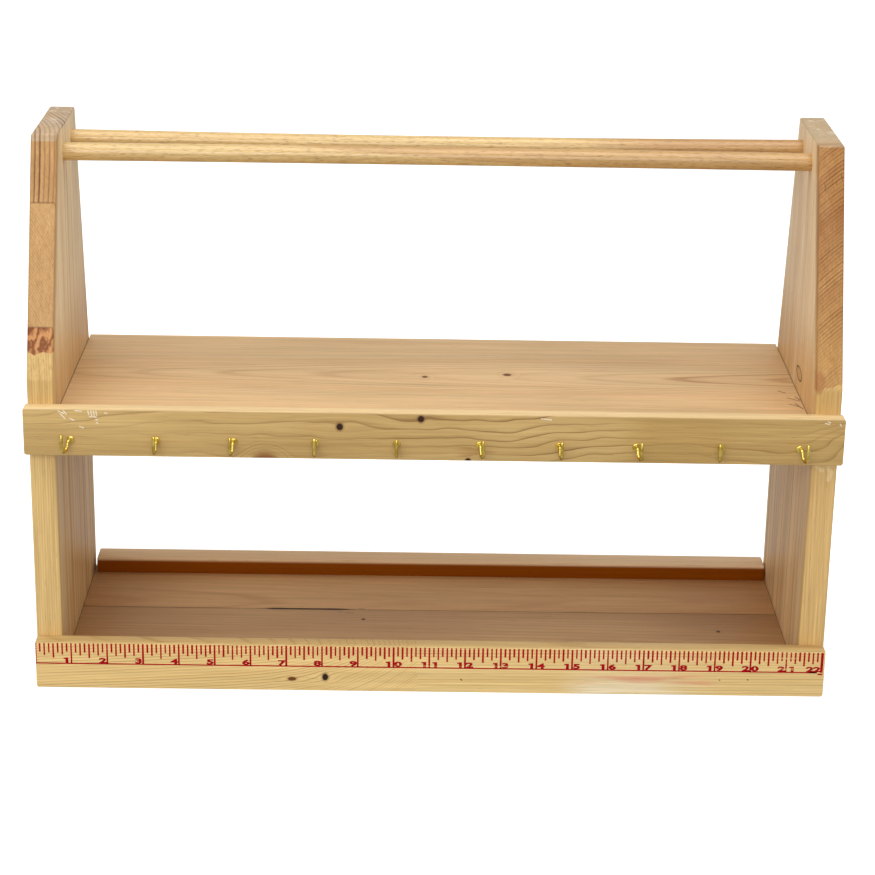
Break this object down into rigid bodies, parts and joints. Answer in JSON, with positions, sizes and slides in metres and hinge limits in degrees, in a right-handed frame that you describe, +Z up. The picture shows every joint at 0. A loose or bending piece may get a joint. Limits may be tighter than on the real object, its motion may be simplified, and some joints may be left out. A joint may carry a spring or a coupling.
{
  "type": "bench-top tool rack",
  "caption": "Free-standing pine tool rack for a jeweller's bench: sloped ends, upper and lower shelf, front rails, brass cup hooks, ruled lower rail and a pair of dowel bars.",
  "frame": {"origin": "centre of the rack's whole box, at the height of the underside it stands on", "axes": "+X along the shelves to the right as seen from the hooks' side, +Y to the back, +Z up"},
  "size_m": [0.565, 0.22, 0.385],
  "materials": {
    "end_pine": "clear satin varnish on laminated pine, staves upright",
    "shelf_pine": "clear satin varnish, grain along the shelf",
    "lower_shelf_pine": "clear satin varnish, two boards glued edge to edge",
    "hook_rail_pine": "clear satin varnish, flowing grain and small knots",
    "rule_rail_pine": "clear satin varnish with a red printed inch scale",
    "strip_pine": "clear satin varnish",
    "dowel_wood": "clear satin varnish on turned dowel",
    "hook_brass": "bright brass plate",
    "screw_steel": "zinc plate"
  },
  "bodies": {
    "root": {"left_end": "end_pine", "right_end": "end_pine", "upper_shelf": "shelf_pine", "lower_shelf_front_board": "lower_shelf_pine", "lower_shelf_rear_board": "lower_shelf_pine", "hook_rail": "hook_rail_pine", "rule_rail": "rule_rail_pine", "rear_strip": "strip_pine", "front_dowel": "dowel_wood", "rear_dowel": "dowel_wood", "cup_hook_01": "hook_brass", "cup_hook_02": "hook_brass", "cup_hook_03": "hook_brass", "cup_hook_04": "hook_brass", "cup_hook_05": "hook_brass", "cup_hook_06": "hook_brass", "cup_hook_07": "hook_brass", "cup_hook_08": "hook_brass", "cup_hook_09": "hook_brass", "cup_hook_10": "hook_brass", "upper_shelf_screw_left_front": "screw_steel", "upper_shelf_screw_left_rear": "screw_steel", "upper_shelf_screw_right_front": "screw_steel", "upper_shelf_screw_right_rear": "screw_steel", "lower_shelf_front_board_screw_left_middle": "screw_steel", "lower_shelf_front_board_screw_right_middle": "screw_steel", "lower_shelf_rear_board_screw_left_middle": "screw_steel", "lower_shelf_rear_board_screw_right_middle": "screw_steel"}
  },
  "joints": []
}
